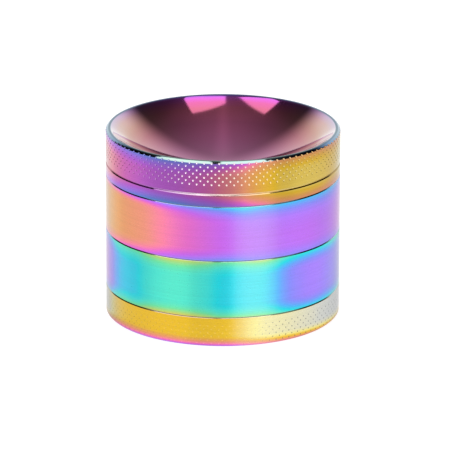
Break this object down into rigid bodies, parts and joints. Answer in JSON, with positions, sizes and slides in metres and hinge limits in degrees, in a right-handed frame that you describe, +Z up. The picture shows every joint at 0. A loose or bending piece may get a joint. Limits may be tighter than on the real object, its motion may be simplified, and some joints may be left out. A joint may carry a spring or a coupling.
{
  "type": "hand grinder",
  "caption": "Round hand grinder in stacked screw-together metal parts: concave magnetic lid, toothed chamber with drop holes, screen chamber and shallow base cup.",
  "frame": {"origin": "centre of the base cup's underside, on the surface the grinder stands on", "axes": "+Z up along the common axis of all the turned parts; +X towards the gap in the screen's snap ring"},
  "size_m": [0.063, 0.063, 0.0514],
  "materials": {
    "lid_coating": "turned aluminium under an iridescent interference coating that runs from plum and magenta to violet, rose and gold",
    "tooth_chamber_coating": "fine-turned aluminium under an iridescent interference coating, peach to magenta, violet and lavender",
    "screen_chamber_coating": "fine-turned aluminium under an iridescent interference coating, cyan to mint, aqua and periwinkle",
    "base_coating": "knurled aluminium under an iridescent interference coating, gold to pale cream",
    "stainless_steel": "bright woven wire and spring steel",
    "magnet_nickel": "nickel-plated magnet",
    "nylon": "natural white nylon, satin"
  },
  "bodies": {
    "base": {"base_cup": "base_coating"},
    "screen_hoop": {"screen_hoop": "stainless_steel"},
    "screen_chamber": {"screen_chamber": "screen_chamber_coating", "mesh_screen": "stainless_steel", "screen_snap_ring": "stainless_steel"},
    "chamber_magnet": {"chamber_magnet": "magnet_nickel"},
    "tooth_chamber": {"tooth_chamber": "tooth_chamber_coating"},
    "glide_ring": {"glide_ring": "nylon"},
    "lid": {"lid": "lid_coating", "lid_magnet": "magnet_nickel"}
  },
  "joints": [
    {"name": "screen_chamber_rise", "type": "slide", "parent": "base", "child": "screen_hoop", "axis": [0, 0, 1], "range_m": [0, 0.00495]},
    {"name": "screen_chamber_unscrew", "type": "hinge", "parent": "screen_hoop", "child": "screen_chamber", "pos_m": [0, 0, 0.0081], "axis": [0, 0, 1], "range_deg": [0, 1188]},
    {"name": "tooth_chamber_rise", "type": "slide", "parent": "screen_chamber", "child": "chamber_magnet", "axis": [0, 0, 1], "range_m": [0, 0.00495]},
    {"name": "tooth_chamber_unscrew", "type": "hinge", "parent": "chamber_magnet", "child": "tooth_chamber", "pos_m": [0, 0, 0.02385], "axis": [0, 0, 1], "range_deg": [0, 1188]},
    {"name": "lid_lift", "type": "slide", "parent": "tooth_chamber", "child": "glide_ring", "axis": [0, 0, 1], "range_m": [0, 0.015]},
    {"name": "lid_turn", "type": "hinge", "parent": "glide_ring", "child": "lid", "pos_m": [0, 0, 0.0389], "axis": [0, 0, 1], "continuous": true}
  ],
  "couplings": [
    {"joint": "screen_chamber_rise", "follows": "screen_chamber_unscrew", "m_per_rad": 0.00023873},
    {"joint": "tooth_chamber_rise", "follows": "tooth_chamber_unscrew", "m_per_rad": 0.00023873}
  ]
}
